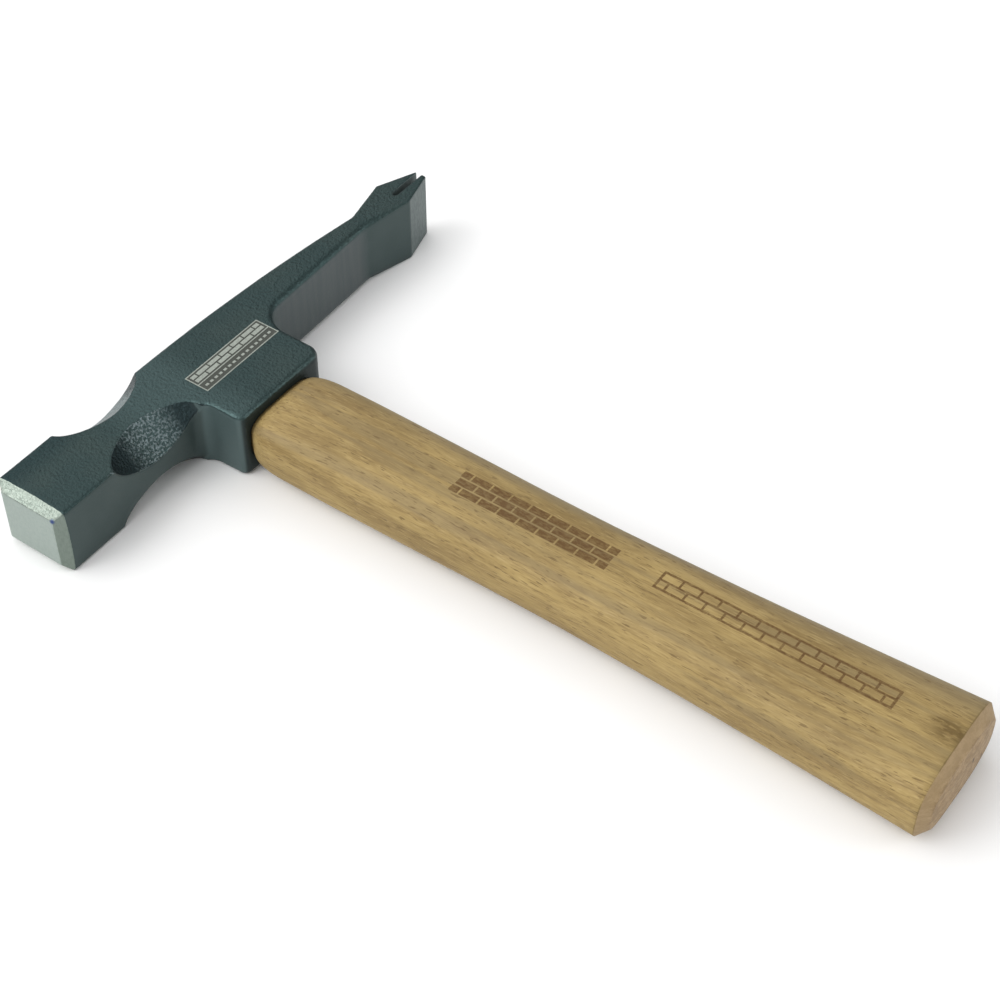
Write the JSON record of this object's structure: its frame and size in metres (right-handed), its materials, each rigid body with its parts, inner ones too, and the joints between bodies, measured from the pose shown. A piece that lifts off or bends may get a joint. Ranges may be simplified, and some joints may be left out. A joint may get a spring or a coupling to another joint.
{
  "type": "brick hammer",
  "caption": "Brick hammer with a square striking face, scooped neck, oval-eyed boss, slotted chisel blade and a straight wooden handle.",
  "frame": {"origin": "on the lower cheek of the head, under the crossing of the head's and the handle's centre lines", "axes": "+X along the head towards the blade tip, -Y along the handle towards the butt, +Z out of the upper cheek"},
  "size_m": [0.1933, 0.2815, 0.025],
  "materials": {
    "forged_steel": "textured dark teal-grey coat, ground bare at the striking face and blade tip",
    "hickory": "lightly sealed hickory",
    "wedge_wood": "bare",
    "wedge_steel": "bare"
  },
  "bodies": {
    "root": {"head": "forged_steel", "handle": "hickory", "wooden_wedge": "wedge_wood", "steel_wedge_poll_side": "wedge_steel", "steel_wedge_blade_side": "wedge_steel"}
  },
  "joints": []
}
